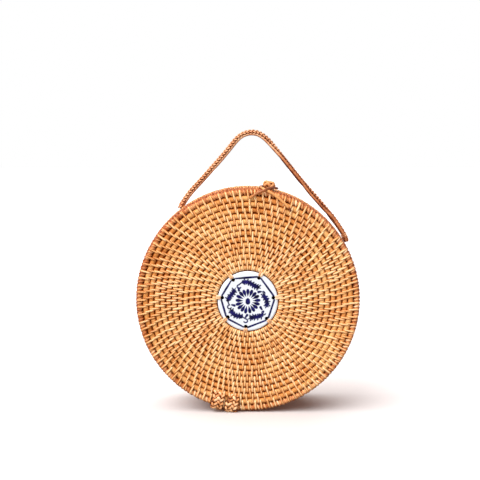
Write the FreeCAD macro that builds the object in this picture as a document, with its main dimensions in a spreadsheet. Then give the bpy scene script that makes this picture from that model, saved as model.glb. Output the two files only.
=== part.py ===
import FreeCAD, Part
import math
import os

import Sketcher
from FreeCAD import Placement, Rotation, Vector

# Driving sizes of the bag, in millimetres and degrees
# Angles run clockwise from the top, seen from the front
SIZES = {
    # basket and lid
    "lid_radius": 100.0,
    "bag_depth": 68.0,
    "rim_rod": 5.6,
    "coil_pitch": 5.2,
    "coil_squeeze": 0.2,
    "wall_bulge": 1.6,
    "rest_flat": 0.5,
    "run_gap": 0.3,
    "seat_gap": 0.25,
    "overrun": 20.0,
    # hinge loops at the bottom edge
    "hinge_angle": 193.0,
    "hinge_width": 10.6,
    "hinge_between": 1.8,
    "hinge_strap": 1.5,
    "hinge_play": 0.8,
    # porcelain medallion and its ties
    "medallion_radius": 26.9,
    "medallion_gap": 0.4,
    "medallion_thick": 4.6,
    "medallion_proud": 0.4,
    "medallion_round": 1.2,
    "tie_hole": 2.8,
    "tie_hole_edge": 3.9,
    "tie_peg": 2.0,
    "tie_width": 2.2,
    "tie_thick": 0.8,
    "tie_leg": 1.0,
    "tie_leg_reach": 1.2,
    # closure knob and thong
    "closure_angle": 10.0,
    "knob_setback": 13.2,
    "knob_radius": 5.0,
    "knob_height": 7.4,
    "stem_radius": 1.5,
    "stop_radius": 3.6,
    "stop_height": 4.0,
    "thong": 2.4,
    "eye_play": 0.5,
    "eye_tip_radius": 2.2,
    "tail_left_angle": -4.4,
    "tail_right_angle": 23.5,
    "tail_spread_angle": 1.9,
    # plaited handle
    "handle_mid_angle": 12.2,
    "handle_half_angle": 48.4,
    "handle_rise": 79.3,
    "handle_plait": 5.2,
    "handle_knot_radius": 3.4,
    "handle_knot_lift": 2.6,
    "handle_cord_radius": 1.0,
    "handle_stop_radius": 4.4,
    "handle_stop_room": 0.9,
    "handle_sway_angle": 17.0,
}

# Angles of the seven hand-drilled holes in the medallion
TIE_ANGLES = (-34.5, 25.5, 82.5, 133.0, 184.5, 231.0, 277.5)

# Handle corners as shares of the span between its ends and of its rise
HANDLE_SHARES = (
    (0.0, 0.0),
    (0.023, 0.13),
    (0.275, 1.0),
    (0.388, 1.0),
    (0.955, 0.125),
    (1.0, 0.0),
)
CORNER_SHARE = 0.45

FRONT = Vector(0, -1, 0)
DEPTH = Vector(0, 1, 0)
UP = Vector(0, 0, 1)

doc = FreeCAD.newDocument("circle_bag")
sheet = doc.addObject("Spreadsheet::Sheet", "Sizes")
for row, (alias, value) in enumerate(SIZES.items(), start=1):
    sheet.set(f"A{row}", alias)
    sheet.set(f"B{row}", str(value))
    sheet.setAlias(f"B{row}", alias)
doc.recompute()


def size(alias):
    return float(sheet.get(alias))


# Sizes worked out from the driving ones
rim_radius = size("rim_rod") / 2
rim_ring = size("lid_radius") - rim_radius
centre_height = size("lid_radius") + size("wall_bulge") - size("rest_flat")
lid_depth = rim_radius - size("bag_depth") / 2
mouth_depth = lid_depth + size("rim_rod") + size("run_gap")
back_depth = size("bag_depth") / 2 - rim_radius
panel_outer = size("lid_radius") - size("rim_rod") - size("seat_gap")
panel_inner = size("medallion_radius") + size("medallion_gap")
tie_circle = size("medallion_radius") - size("tie_hole_edge")
wall_front = mouth_depth + rim_radius + size("seat_gap")
wall_back = back_depth - rim_radius - size("seat_gap")


def row_count(span):
    return max(2, round(span / size("coil_pitch")))


lid_rows = row_count(panel_outer - panel_inner)
back_rows = row_count(panel_outer)
wall_rows = row_count(wall_back - wall_front)
lid_pitch = (panel_outer - panel_inner) / lid_rows
wall_pitch = (wall_back - wall_front) / wall_rows
lid_rod_radius = (lid_pitch + size("coil_squeeze")) / 2
wall_rod_radius = (wall_pitch + size("coil_squeeze")) / 2


def outward(angle):
    turn = math.radians(angle)
    return Vector(math.sin(turn), 0, math.cos(turn))


def along_rim(angle):
    turn = math.radians(angle)
    return Vector(math.cos(turn), 0, -math.sin(turn))


def rim_point(angle, radius, depth):
    return outward(angle) * radius + DEPTH * depth + UP * centre_height


def rim_rotation(angle):
    return Rotation(outward(angle), along_rim(angle), DEPTH, "ZXY")


def wall_radius(depth):
    share = (depth - mouth_depth) / (back_depth - mouth_depth)
    return size("lid_radius") + size("wall_bulge") * 4 * share * (1 - share)


def bind(item, **rules):
    for prop, rule in rules.items():
        item.setExpression(prop, rule)


def add(kind, name, place=None, **rules):
    item = doc.addObject(kind, name)
    bind(item, **rules)
    if place is not None:
        item.Placement = place
    return item


def fuse(name, items):
    item = doc.addObject("Part::MultiFuse", name)
    item.Shapes = items
    return item


def cut(name, base, tool):
    item = doc.addObject("Part::Cut", name)
    item.Base = base
    item.Tool = tool
    return item


# One closed turn of coil, standing round the depth axis
def coil_ring(name, depth, ring_rule, rod_rule):
    place = Placement(Vector(0, depth, centre_height), Rotation(UP, DEPTH))
    return add("Part::Torus", name, place, Radius1=ring_rule, Radius2=rod_rule)


def rim_coil(name, depth):
    return coil_ring(name, depth, "Sizes.lid_radius - Sizes.rim_rod / 2", "Sizes.rim_rod / 2")


# Rows of coil side by side in one flat disc
def disc_rows(name, depth, inner_rule, rows, first):
    outer_rule = "Sizes.lid_radius - Sizes.rim_rod - Sizes.seat_gap"
    pitch_rule = f"(({outer_rule}) - ({inner_rule})) / {rows}"
    rod_rule = f"({pitch_rule} + Sizes.coil_squeeze) / 2"
    rings = []
    for number in range(first, rows):
        ring_rule = f"{inner_rule} + ({number} + 0.5) * {pitch_rule}"
        rings.append(coil_ring(f"{name}_row_{number}", depth, ring_rule, rod_rule))
    return rings, pitch_rule, rod_rule


# Straight runs joined by tangent arcs, each arc taking a share of its shorter run
def rounded_path(points):
    edges = []
    start = points[0]
    for before, corner, after in zip(points, points[1:], points[2:]):
        back = (before - corner).normalize()
        ahead = (after - corner).normalize()
        reach = CORNER_SHARE * min((before - corner).Length, (after - corner).Length)
        half_turn = back.getAngle(ahead) / 2
        bisector = (back + ahead).normalize()
        radius = reach * math.tan(half_turn)
        middle = corner + bisector * (radius / math.sin(half_turn) - radius)
        edges.append(Part.LineSegment(start, corner + back * reach).toShape())
        edges.append(Part.Arc(corner + back * reach, middle, corner + ahead * reach).toShape())
        start = corner + ahead * reach
    edges.append(Part.LineSegment(start, points[-1]).toShape())
    return Part.Wire(edges)


# A round bar that follows a path
def bar(name, path, radius_rule):
    spine = doc.addObject("Part::Feature", name + "_path")
    spine.Shape = path
    first = path.OrderedEdges[0]
    heading = first.tangentAt(first.FirstParameter)
    start = Placement(first.valueAt(first.FirstParameter), Rotation(UP, heading))
    section = add("Part::Circle", name + "_section", start, Radius=radius_rule)
    item = doc.addObject("Part::Sweep", name)
    item.Sections = [section]
    item.Spine = (spine, [f"Edge{number}" for number in range(1, len(path.Edges) + 1)])
    item.Solid = True
    item.Frenet = False
    return item


# Space under the surface that the bag stands on
floor_width = 2 * (size("lid_radius") + size("overrun"))
floor_cut = add(
    "Part::Box",
    "floor_cut",
    Placement(Vector(-floor_width / 2, -floor_width / 2, -size("overrun")), Rotation()),
    Length="2 * (Sizes.lid_radius + Sizes.overrun)",
    Width="2 * (Sizes.lid_radius + Sizes.overrun)",
    Height="Sizes.overrun",
)

# Hinge: the lid's rim coil turns inside two straps that also go round the mouth rim
hinge_axis = along_rim(size("hinge_angle"))
hinge_point = rim_point(size("hinge_angle"), rim_ring, lid_depth)
hinge_inner = "Sizes.rim_rod / 2 + Sizes.hinge_play"
hinge_outer = f"{hinge_inner} + Sizes.hinge_strap"
hinge_room = f"{hinge_outer} + Sizes.run_gap"
hinge_reach = "Sizes.rim_rod + Sizes.run_gap"
hinge_offset = (size("hinge_width") + size("hinge_between")) / 2
hinge_sides = {"left": hinge_offset, "right": -hinge_offset}


def slot_outline(sketch, radius_rule, radius, reach):
    quarter = math.pi / 2
    near = Part.ArcOfCircle(Part.Circle(Vector(), UP, radius), quarter, 3 * quarter)
    far = Part.ArcOfCircle(Part.Circle(Vector(reach, 0, 0), UP, radius), -quarter, quarter)
    lower = Part.LineSegment(Vector(0, -radius, 0), Vector(reach, -radius, 0))
    upper = Part.LineSegment(Vector(reach, radius, 0), Vector(0, radius, 0))
    near, lower, far, upper = [sketch.addGeometry(item, False) for item in (near, lower, far, upper)]
    for one, other in ((near, lower), (lower, far), (far, upper), (upper, near)):
        sketch.addConstraint(Sketcher.Constraint("Tangent", one, 2, other, 1))
    sketch.addConstraint(Sketcher.Constraint("Coincident", near, 3, -1, 1))
    sketch.addConstraint(Sketcher.Constraint("PointOnObject", far, 3, -1))
    around = sketch.addConstraint(Sketcher.Constraint("Radius", near, radius))
    across = sketch.addConstraint(Sketcher.Constraint("DistanceX", near, 3, far, 3, reach))
    sketch.setExpression(f"Constraints[{around}]", radius_rule)
    sketch.setExpression(f"Constraints[{across}]", hinge_reach)


def origin_plane(body, role):
    return next(item for item in body.Origin.OriginFeatures if item.Role == role)


def hinge_loop(side, offset):
    body = doc.addObject("PartDesign::Body", f"hinge_strap_{side}")
    sketch = body.newObject("Sketcher::SketchObject", f"hinge_outline_{side}")
    sketch.AttachmentSupport = [(origin_plane(body, "XY_Plane"), "")]
    sketch.MapMode = "FlatFace"
    inner = rim_radius + size("hinge_play")
    reach = size("rim_rod") + size("run_gap")
    slot_outline(sketch, hinge_outer, inner + size("hinge_strap"), reach)
    slot_outline(sketch, hinge_inner, inner, reach)
    pad = body.newObject("PartDesign::Pad", f"hinge_pad_{side}")
    pad.Profile = sketch
    bind(pad, Length="Sizes.hinge_width")
    turn = Rotation(DEPTH, hinge_axis.cross(DEPTH), hinge_axis, "ZXY")
    start = hinge_point + hinge_axis * (offset - size("hinge_width") / 2)
    body.Placement = Placement(start, turn)
    return cut(f"hinge_loop_{side}", body, floor_cut)


# Room for a strap where it goes round a rim coil
hinge_room_width = "Sizes.hinge_width + 2 * Sizes.run_gap"


def hinge_room_start(offset):
    return hinge_axis * (offset - size("hinge_width") / 2 - size("run_gap"))


def hinge_slot(name, offset, depth):
    base = rim_point(size("hinge_angle"), rim_ring, depth) + hinge_room_start(offset)
    place = Placement(base, Rotation(UP, hinge_axis))
    return add("Part::Cylinder", name, place, Radius=hinge_room, Height=hinge_room_width)


# Room for the straight runs of a strap between the two rim coils
def hinge_run(name, offset):
    room = rim_radius + size("hinge_play") + size("hinge_strap") + size("run_gap")
    base = rim_point(size("hinge_angle"), rim_ring - room, lid_depth) + hinge_room_start(offset)
    place = Placement(base, Rotation(hinge_axis, DEPTH, hinge_axis.cross(DEPTH), "ZXY"))
    return add(
        "Part::Box",
        name,
        place,
        Length=hinge_room_width,
        Width=hinge_reach,
        Height=f"2 * ({hinge_room})",
    )


hinge_loops = [hinge_loop(side, offset) for side, offset in hinge_sides.items()]
lid_slots = [hinge_slot(f"lid_slot_{side}", offset, lid_depth) for side, offset in hinge_sides.items()]
lid_slots += [hinge_run(f"lid_run_{side}", offset) for side, offset in hinge_sides.items()]
wall_slots = [hinge_slot(f"wall_slot_{side}", offset, mouth_depth) for side, offset in hinge_sides.items()]

# Lid: coiled panel and its rim coil
lid_inner = "Sizes.medallion_radius + Sizes.medallion_gap"
lid_rings, _, _ = disc_rows("lid", lid_depth, lid_inner, lid_rows, 0)
lid_panel = cut("lid_panel", fuse("lid_rings", lid_rings), fuse("lid_slots", lid_slots))
lid_rim = rim_coil("lid_rim", lid_depth)

# Back: coiled panel that starts from a small button, and its rim coil
back_rings, back_pitch, back_rod = disc_rows("back", back_depth, "0", back_rows, 1)
back_button = add(
    "Part::Ellipsoid",
    "back_button",
    Placement(Vector(0, back_depth, centre_height), Rotation(UP, DEPTH)),
    Radius1=back_rod,
    Radius2=f"{back_pitch} + Sizes.coil_squeeze",
    Radius3=f"{back_pitch} + Sizes.coil_squeeze",
)
back_panel = fuse("back_panel", [back_button] + back_rings)
back_rim = rim_coil("back_rim", back_depth)
mouth_rim = rim_coil("mouth_rim", mouth_depth)

# Closure knob: a button knot on a stem through the wall, with a knot inside
knob_depth = lid_depth + size("knob_setback")
knob_seat = wall_radius(knob_depth)
knob_turn = Rotation(UP, outward(size("closure_angle")))


def on_knob_axis(radius):
    return Placement(rim_point(size("closure_angle"), radius, knob_depth), knob_turn)


stop_face = knob_seat - 2 * wall_rod_radius - size("run_gap")
stem_base = stop_face - size("stop_height")
knob_head = add(
    "Part::Ellipsoid",
    "knob_head",
    on_knob_axis(knob_seat + size("seat_gap") + size("knob_height") / 2),
    Radius1="Sizes.knob_height / 2",
    Radius2="Sizes.knob_radius",
    Radius3="Sizes.knob_radius",
)
knob_stem = add("Part::Cylinder", "knob_stem", on_knob_axis(stem_base), Radius="Sizes.stem_radius")
knob_stem.Height = knob_seat + size("knob_height") / 2 - stem_base
closure_knob = fuse("closure_knob", [knob_head, knob_stem])
stop_body = add(
    "Part::Ellipsoid",
    "stop_body",
    on_knob_axis(stop_face - size("stop_height") / 2),
    Radius1="Sizes.stop_height / 2",
    Radius2="Sizes.stop_radius",
    Radius3="Sizes.stop_radius",
)
stem_length_rule = "Sizes.stop_height + 2 * Sizes.overrun"
stem_room = add(
    "Part::Cylinder",
    "stem_room",
    on_knob_axis(stem_base - size("overrun")),
    Radius="Sizes.stem_radius + Sizes.seat_gap",
    Height=stem_length_rule,
)
knob_stop = cut("knob_stop", stop_body, stem_room)

# Handle: a plait from knot to knot over the top, swinging about the line through its knots
handle_depth = (mouth_depth + back_depth) / 2
handle_seat = wall_radius(handle_depth) + size("handle_knot_lift")
handle_angles = [size("handle_mid_angle") + side * size("handle_half_angle") for side in (-1, 1)]
handle_ends = [rim_point(angle, handle_seat, handle_depth) for angle in handle_angles]
handle_span = handle_ends[1] - handle_ends[0]
handle_up = FRONT.cross(handle_span).normalize() * size("handle_rise")
handle_route = [handle_ends[0] + handle_span * run + handle_up * rise for run, rise in HANDLE_SHARES]
handle_plait = bar("handle_plait", rounded_path(handle_route), "Sizes.handle_plait / 2")
handle_pieces = [handle_plait]
handle_rooms = []
inside_drop = size("handle_knot_lift") + 2 * wall_rod_radius
stop_drop = inside_drop + size("handle_stop_room") + size("handle_stop_radius")
passage_slope = math.tan(math.radians(size("handle_sway_angle")))
for side, angle in zip(("left", "right"), handle_angles):
    knot_place = Placement(rim_point(angle, handle_seat, handle_depth), Rotation(UP, outward(angle)))
    stop_place = Placement(rim_point(angle, handle_seat - stop_drop, handle_depth), Rotation(UP, outward(angle)))
    knot = add("Part::Sphere", f"handle_knot_{side}", knot_place, Radius="Sizes.handle_knot_radius")
    stop = add("Part::Sphere", f"handle_stop_{side}", stop_place, Radius="Sizes.handle_stop_radius")
    cord = add("Part::Cylinder", f"handle_cord_{side}", stop_place, Radius="Sizes.handle_cord_radius")
    cord.Height = stop_drop
    handle_pieces += [knot, stop, cord]
    dimple = add(
        "Part::Sphere",
        f"handle_dimple_{side}",
        knot_place,
        Radius="Sizes.handle_knot_radius + Sizes.run_gap",
    )
    passage = add(
        "Part::Cone",
        f"handle_passage_{side}",
        stop_place,
        Radius2="Sizes.handle_cord_radius + Sizes.run_gap",
    )
    passage.Radius1 = size("handle_cord_radius") + size("run_gap") + stop_drop * passage_slope
    passage.Height = stop_drop
    handle_rooms += [dimple, passage]
handle = fuse("handle", handle_pieces)

# Side wall: rows of coil that swell a little between the two rims
wall_rod = f"({wall_pitch} + Sizes.coil_squeeze) / 2"
wall_rings = []
for number in range(wall_rows):
    row_depth = wall_front + (number + 0.5) * wall_pitch
    swell = wall_radius(row_depth) - size("lid_radius")
    ring_rule = f"Sizes.lid_radius + {swell} - {wall_rod}"
    wall_rings.append(coil_ring(f"wall_row_{number}", row_depth, ring_rule, wall_rod))
wall_tools = fuse("wall_tools", [floor_cut, stem_room] + wall_slots + handle_rooms)
side_wall = cut("side_wall", fuse("wall_rings", wall_rings), wall_tools)

# Medallion: a porcelain disc with rounded edges and seven drilled holes
face_depth = lid_depth - lid_rod_radius - size("medallion_proud")
medallion = doc.addObject("PartDesign::Body", "medallion")
disc_sketch = medallion.newObject("Sketcher::SketchObject", "medallion_outline")
disc_sketch.AttachmentSupport = [(origin_plane(medallion, "XY_Plane"), "")]
disc_sketch.MapMode = "FlatFace"
disc_edge = disc_sketch.addGeometry(Part.Circle(Vector(), UP, size("medallion_radius")), False)
disc_sketch.addConstraint(Sketcher.Constraint("Coincident", disc_edge, 3, -1, 1))
disc_size = disc_sketch.addConstraint(Sketcher.Constraint("Radius", disc_edge, size("medallion_radius")))
disc_sketch.setExpression(f"Constraints[{disc_size}]", "Sizes.medallion_radius")
disc_pad = medallion.newObject("PartDesign::Pad", "medallion_disc")
disc_pad.Profile = disc_sketch
bind(disc_pad, Length="Sizes.medallion_thick")
doc.recompute()
disc_round = medallion.newObject("PartDesign::Fillet", "medallion_edges")
disc_round.Base = (disc_pad, [f"Edge{n}" for n, edge in enumerate(disc_pad.Shape.Edges, 1) if edge.isClosed()])
bind(disc_round, Radius="Sizes.medallion_round")
hole_sketch = medallion.newObject("Sketcher::SketchObject", "tie_holes")
hole_sketch.AttachmentSupport = [(origin_plane(medallion, "XY_Plane"), "")]
hole_sketch.MapMode = "FlatFace"
tie_circle_rule = "(Sizes.medallion_radius - Sizes.tie_hole_edge)"
for angle in TIE_ANGLES:
    turn = math.radians(angle)
    place = Vector(math.sin(turn), math.cos(turn), 0) * tie_circle
    hole = hole_sketch.addGeometry(Part.Circle(place, UP, size("tie_hole") / 2), False)
    across = hole_sketch.addConstraint(Sketcher.Constraint("DistanceX", -1, 1, hole, 3, place.x))
    upward = hole_sketch.addConstraint(Sketcher.Constraint("DistanceY", -1, 1, hole, 3, place.y))
    around = hole_sketch.addConstraint(Sketcher.Constraint("Radius", hole, size("tie_hole") / 2))
    hole_sketch.setExpression(f"Constraints[{across}]", f"{tie_circle_rule} * sin({angle})")
    hole_sketch.setExpression(f"Constraints[{upward}]", f"{tie_circle_rule} * cos({angle})")
    hole_sketch.setExpression(f"Constraints[{around}]", "Sizes.tie_hole / 2")
tie_holes = medallion.newObject("PartDesign::Pocket", "tie_hole_pocket")
tie_holes.Profile = hole_sketch
tie_holes.Type = "ThroughAll"
tie_holes.Reversed = True
medallion.Placement = Placement(
    Vector(0, face_depth + size("medallion_thick"), centre_height),
    Rotation(Vector(1, 0, 0), UP, FRONT, "ZXY"),
)

# Ties: a strip from each hole over the medallion's edge to the valley behind the first coil row
tie_start = tie_circle - size("tie_width") / 2
tie_end = panel_inner + lid_pitch + size("tie_leg") / 2


def tie(number, angle):
    turn = rim_rotation(angle)
    side = along_rim(angle) * (-size("tie_width") / 2)
    front = face_depth - size("tie_thick")
    strip = add(
        "Part::Box",
        f"tie_strip_{number}",
        Placement(rim_point(angle, tie_start, front) + side, turn),
        Width="Sizes.tie_width",
        Height="Sizes.tie_thick",
    )
    strip.Length = tie_end - tie_start
    leg = add(
        "Part::Box",
        f"tie_leg_{number}",
        Placement(rim_point(angle, tie_end - size("tie_leg"), front) + side, turn),
        Length="Sizes.tie_leg",
        Width="Sizes.tie_width",
        Height="Sizes.tie_thick + Sizes.tie_leg_reach",
    )
    peg = add(
        "Part::Cylinder",
        f"tie_peg_{number}",
        Placement(rim_point(angle, tie_circle, front), turn),
        Radius="Sizes.tie_peg / 2",
        Height="Sizes.tie_thick + Sizes.medallion_thick",
    )
    return fuse(f"tie_{number}", [strip, leg, peg])


medallion_ties = doc.addObject("Part::Compound", "medallion_ties")
medallion_ties.Links = [tie(number, angle) for number, angle in enumerate(TIE_ANGLES, start=1)]

# Closure loop: the thong's eye lies round the knob, with its tip over the lid's rim
thong_radius = size("thong") / 2
eye_ring = size("knob_radius") + size("eye_play") + thong_radius
eye_height = wall_radius(knob_depth + eye_ring) + size("run_gap") + thong_radius
tip_distance = knob_depth - lid_depth
eye_centre = rim_point(size("closure_angle"), eye_height, knob_depth)


def eye_path():
    narrowing = (eye_ring - size("eye_tip_radius")) / tip_distance
    widening = math.sqrt(1 - narrowing ** 2)
    across = along_rim(size("closure_angle"))
    tip = eye_centre + FRONT * tip_distance
    near_right, near_left = [FRONT * narrowing + across * (side * widening) for side in (1, -1)]
    ring_right = eye_centre + near_right * eye_ring
    ring_left = eye_centre + near_left * eye_ring
    tip_right = tip + near_right * size("eye_tip_radius")
    tip_left = tip + near_left * size("eye_tip_radius")
    ring = Part.Arc(ring_right, eye_centre + DEPTH * eye_ring, ring_left)
    front = Part.Arc(tip_left, tip + FRONT * size("eye_tip_radius"), tip_right)
    left = Part.LineSegment(ring_left, tip_left)
    right = Part.LineSegment(tip_right, ring_right)
    return Part.Wire([item.toShape() for item in (ring, left, front, right)])


loop_eye = bar("loop_eye", eye_path(), "Sizes.thong / 2")

# Thong ends: each runs down the lid's face and turns into a valley between coil rows
tail_depth = lid_depth - rim_radius - size("seat_gap") - thong_radius
tail_end_depth = lid_depth - lid_rod_radius + size("seat_gap")


def tail(side, start_angle, end_angle, valley_radius):
    start = rim_point(start_angle, size("lid_radius"), tail_depth)
    turn = rim_point(end_angle, valley_radius, tail_depth)
    end = rim_point(end_angle, valley_radius, tail_end_depth)
    return bar(f"loop_tail_{side}", rounded_path([start, turn, end]), "Sizes.thong / 2")


closure = size("closure_angle")
spread = size("tail_spread_angle")
valley = panel_outer + size("seat_gap") / 2
loop_tails = [
    tail("left", closure - spread, size("tail_left_angle"), valley),
    tail("right", closure + spread, size("tail_right_angle"), panel_outer - lid_pitch),
]

nodes = [side_wall, mouth_rim, back_panel, back_rim, closure_knob, knob_stop, lid_panel, lid_rim]
nodes += [medallion, medallion_ties, loop_eye, handle] + hinge_loops + loop_tails
for node in nodes:
    node.Label = node.Name
doc.recompute()

for item in doc.Objects:
    if "Invalid" in item.State or "Error" in item.State:
        raise RuntimeError(f"{item.Name} failed: {item.State}")
for node in nodes:
    if node.Shape.isNull() or not node.Shape.isValid():
        raise RuntimeError(f"{node.Label} has no valid shape")

os.makedirs("parts", exist_ok=True)
for node in nodes:
    node.Shape.exportStep(f"parts/{node.Label}.step")
    print(f"{node.Label}: {len(node.Shape.Solids)} solids, {node.Shape.Volume:.1f} mm3")
print("hinge axis through", hinge_point, "along", hinge_axis)
print("eye axis through", eye_centre + FRONT * (tip_distance + size("eye_tip_radius")), "along", along_rim(closure))
print("handle axis through", handle_ends[0], "and", handle_ends[1])
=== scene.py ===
import math
import random

import bpy
import numpy as np
from mathutils import Matrix, Vector


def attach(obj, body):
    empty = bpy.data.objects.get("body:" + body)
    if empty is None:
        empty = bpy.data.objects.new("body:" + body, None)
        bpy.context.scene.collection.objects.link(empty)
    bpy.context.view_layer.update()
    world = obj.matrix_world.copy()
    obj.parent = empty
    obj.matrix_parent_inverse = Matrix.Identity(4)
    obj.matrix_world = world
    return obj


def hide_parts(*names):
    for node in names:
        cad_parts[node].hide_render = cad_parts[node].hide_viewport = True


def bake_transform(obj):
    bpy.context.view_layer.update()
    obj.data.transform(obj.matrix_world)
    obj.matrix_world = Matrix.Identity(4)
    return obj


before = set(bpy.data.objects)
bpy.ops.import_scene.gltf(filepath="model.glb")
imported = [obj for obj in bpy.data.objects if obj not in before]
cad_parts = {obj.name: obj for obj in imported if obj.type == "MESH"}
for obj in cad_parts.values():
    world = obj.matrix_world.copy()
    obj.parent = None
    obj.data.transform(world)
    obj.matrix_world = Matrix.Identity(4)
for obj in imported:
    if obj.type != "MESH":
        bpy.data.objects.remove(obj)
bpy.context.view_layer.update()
scene = bpy.context.scene
mm = 0.001

# the round body, same sizes as the solids
bag = {
    "axisHeight": 101.1 * mm,
    "lidRadius": 100.0 * mm,
    "rimRod": 2.8 * mm,  # radius of the rim coils
    "lidDepth": -31.2 * mm,
    "mouthDepth": -25.3 * mm,
    "backDepth": 31.2 * mm,
    "panelInner": 27.3 * mm,
    "panelOuter": 94.15 * mm,
    "wallFront": -22.25 * mm,
    "wallBack": 28.15 * mm,
    "wallBulge": 1.6 * mm,
    "lidRows": 13,
    "backRows": 18,
    "wallRows": 10,
    "lowest": 0.05 * mm,  # pressed flat where the bag stands
}
front = Vector((0, -1, 0))


# clock angle in degrees, from the top, clockwise seen from the front
def outward(angle):
    turn = math.radians(angle)
    return Vector((math.sin(turn), 0, math.cos(turn)))


def clockwise(angle):
    turn = math.radians(angle)
    return Vector((math.cos(turn), 0, -math.sin(turn)))


def bagPoint(angle, radius, depth):
    return outward(angle) * radius + Vector((0, depth, bag["axisHeight"]))


def wallRadius(depth):
    share = (depth - bag["mouthDepth"]) / (bag["backDepth"] - bag["mouthDepth"])
    return bag["lidRadius"] + bag["wallBulge"] * 4 * share * (1 - share)


# 0 up to start, 1 from start + length on
def rise(value, start, length):
    return min(max((value - start) / length, 0), 1)


# 1 at that clock angle, 0 from a quarter turn away
def onSide(angle, side):
    return max(0.0, math.cos(math.radians(angle - side)))


def jitter(rng, most):
    return rng.uniform(-most, most)


# values given at shares of a path, for each of its points
def alongPath(table, count):
    return [float(v) for v in np.interp(np.linspace(0, 1, count), *zip(*table))]


def headings(path):
    last = len(path) - 1
    return [(path[min(i + 1, last)] - path[max(i - 1, 0)]).normalized() for i in range(last + 1)]


# even spacing along a line with its corners cut
def smoothPath(points, step):
    line = np.array([tuple(p) for p in points])
    for _ in range(3):
        inner = 0.75 * line[:-1] + 0.25 * line[1:]
        outer = 0.25 * line[:-1] + 0.75 * line[1:]
        line = np.vstack([line[:1], np.stack([inner, outer], 1).reshape(-1, 3), line[-1:]])
    lengths = np.concatenate([[0], np.cumsum(np.linalg.norm(np.diff(line, axis=0), axis=1))])
    spots = np.linspace(0, lengths[-1], max(4, int(lengths[-1] / step)))
    return [Vector([float(np.interp(s, lengths, line[:, c])) for c in range(3)]) for s in spots]


# finishes

def noiseFrom(nodes, links, place, scale, detail):
    noise = nodes.new("ShaderNodeTexNoise")
    noise.inputs["Scale"].default_value = scale
    noise.inputs["Detail"].default_value = detail
    links.new(place.outputs["Object"], noise.inputs["Vector"])
    return noise.outputs["Fac"]


# value times factor, plus base
def addShare(nodes, links, value, factor, base):
    total = nodes.new("ShaderNodeMath")
    total.operation = "MULTIPLY_ADD"
    total.inputs[1].default_value = factor
    links.new(value, total.inputs[0])
    links.new(base, total.inputs[2])
    return total.outputs["Value"]


# stops: (place, colour)
def rampFrom(nodes, links, value, stops):
    ramp = nodes.new("ShaderNodeValToRGB")
    while len(ramp.color_ramp.elements) < len(stops):
        ramp.color_ramp.elements.new(0.5)
    for element, (at, colour) in zip(ramp.color_ramp.elements, stops):
        element.position = at
        element.color = (*colour, 1)
    links.new(value, ramp.inputs["Fac"])
    return ramp.outputs["Color"]


def attributeNamed(nodes, label):
    reader = nodes.new("ShaderNodeAttribute")
    reader.attribute_name = label
    return reader.outputs["Fac"]


surface = {"noiseDetail": 3.0, "roughSpread": 0.1, "bumpStrength": 0.6}


def freshMaterial(name, roughness, bumpScale, bumpDepth, coat, coatRoughness, shine):
    mat = bpy.data.materials.new(name)
    mat.use_nodes = True
    nodes, links = mat.node_tree.nodes, mat.node_tree.links
    shader = nodes["Principled BSDF"]
    shader.inputs["Coat Weight"].default_value = coat
    shader.inputs["Coat Roughness"].default_value = coatRoughness
    shader.inputs["Specular IOR Level"].default_value = shine
    place = nodes.new("ShaderNodeTexCoord")
    fine = noiseFrom(nodes, links, place, bumpScale, surface["noiseDetail"])
    rough = nodes.new("ShaderNodeMapRange")
    rough.inputs["To Min"].default_value = roughness - surface["roughSpread"]
    rough.inputs["To Max"].default_value = roughness + surface["roughSpread"]
    links.new(fine, rough.inputs["Value"])
    links.new(rough.outputs["Result"], shader.inputs["Roughness"])
    bump = nodes.new("ShaderNodeBump")
    bump.inputs["Strength"].default_value = surface["bumpStrength"]
    bump.inputs["Distance"].default_value = bumpDepth
    links.new(fine, bump.inputs["Height"])
    links.new(bump.outputs["Normal"], shader.inputs["Normal"])
    return mat, nodes, links, shader, place


# cane: each strip has its own tone, with blotches and streaks over it
caneLook = {
    "bumpScale": 1800.0,
    "bumpDepth": 0.00012,
    "coatRoughness": 0.25,
    "blotchScale": 90.0,
    "blotchDetail": 4.0,
    "blotchShare": 0.7,
    "streakScale": 700.0,
    "streakDetail": 2.0,
    "streakShare": 0.25,
    "flushScale": 38.0,  # redder patches, larger than the blotches
    "flushDetail": 3.0,
    "flushFrom": 0.45,
    "flushTo": 0.7,
    "flushMost": 0.5,
    "flushColour": (0.98, 0.80, 0.76),
}

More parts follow.
